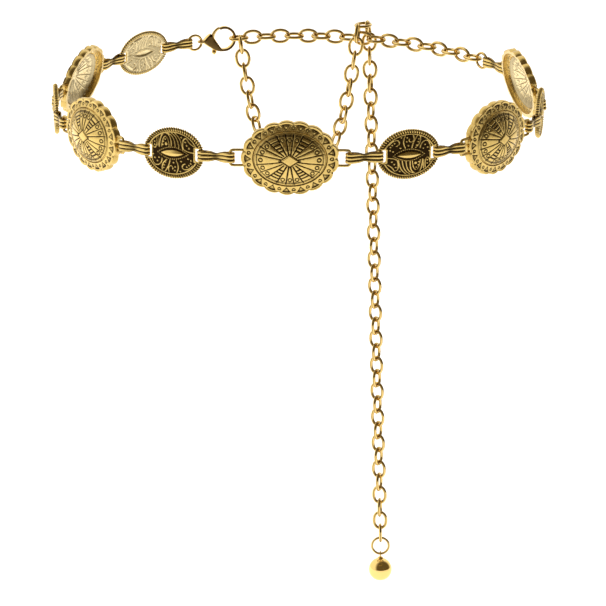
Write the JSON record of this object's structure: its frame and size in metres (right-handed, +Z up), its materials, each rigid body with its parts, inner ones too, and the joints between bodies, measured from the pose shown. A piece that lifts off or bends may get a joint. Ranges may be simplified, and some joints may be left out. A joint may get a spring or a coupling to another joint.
{
  "type": "concho chain belt",
  "caption": "Chain belt of domed conchos and small ovals on ribbed strap links, closed by a clasp, with a slack swag and a hanging chain tail that ends in a ball.",
  "frame": {"origin": "middle of the waist ring, level with the middle of its pieces", "axes": "+Z up as worn, the front concho faces -Y, +X is the right of someone who looks at the front"},
  "size_m": [0.2162, 0.2114, 0.2779],
  "materials": {
    "antique_gold": "cast and polished, dark brown in the recesses",
    "chain_gold": "bright polished"
  },
  "bodies": {
    "belt": {"concho_front": "antique_gold", "concho_right_front": "antique_gold", "concho_right_back": "antique_gold", "concho_left_back": "antique_gold", "concho_left_front": "antique_gold", "oval_right_front": "antique_gold", "oval_right_side": "antique_gold", "oval_left_back": "antique_gold", "oval_left_side": "antique_gold", "oval_left_front": "antique_gold", "strap_01": "antique_gold", "strap_02": "antique_gold", "strap_03": "antique_gold", "strap_04": "antique_gold", "strap_05": "antique_gold", "strap_06": "antique_gold", "strap_07": "antique_gold", "strap_08": "antique_gold", "strap_09": "antique_gold", "strap_10": "antique_gold", "strap_11": "antique_gold", "chain_ring": "chain_gold", "clasp_ring": "chain_gold", "clasp_body": "chain_gold", "clasp_lever": "chain_gold", "chain_back_1": "chain_gold", "chain_back_2": "chain_gold", "chain_back_3": "chain_gold", "chain_swag_1": "chain_gold", "chain_swag_2": "chain_gold", "chain_swag_3": "chain_gold", "chain_swag_4": "chain_gold", "chain_over": "chain_gold", "chain_tail": "chain_gold", "end_ring": "chain_gold"},
    "drop": {"ball_drop": "chain_gold"}
  },
  "joints": [
    {"name": "ball_swing", "type": "hinge", "parent": "belt", "child": "drop", "pos_m": [0.04004, 0.10165, -0.24725], "axis": [1, 0, 0], "range_deg": [-90, 90]}
  ]
}
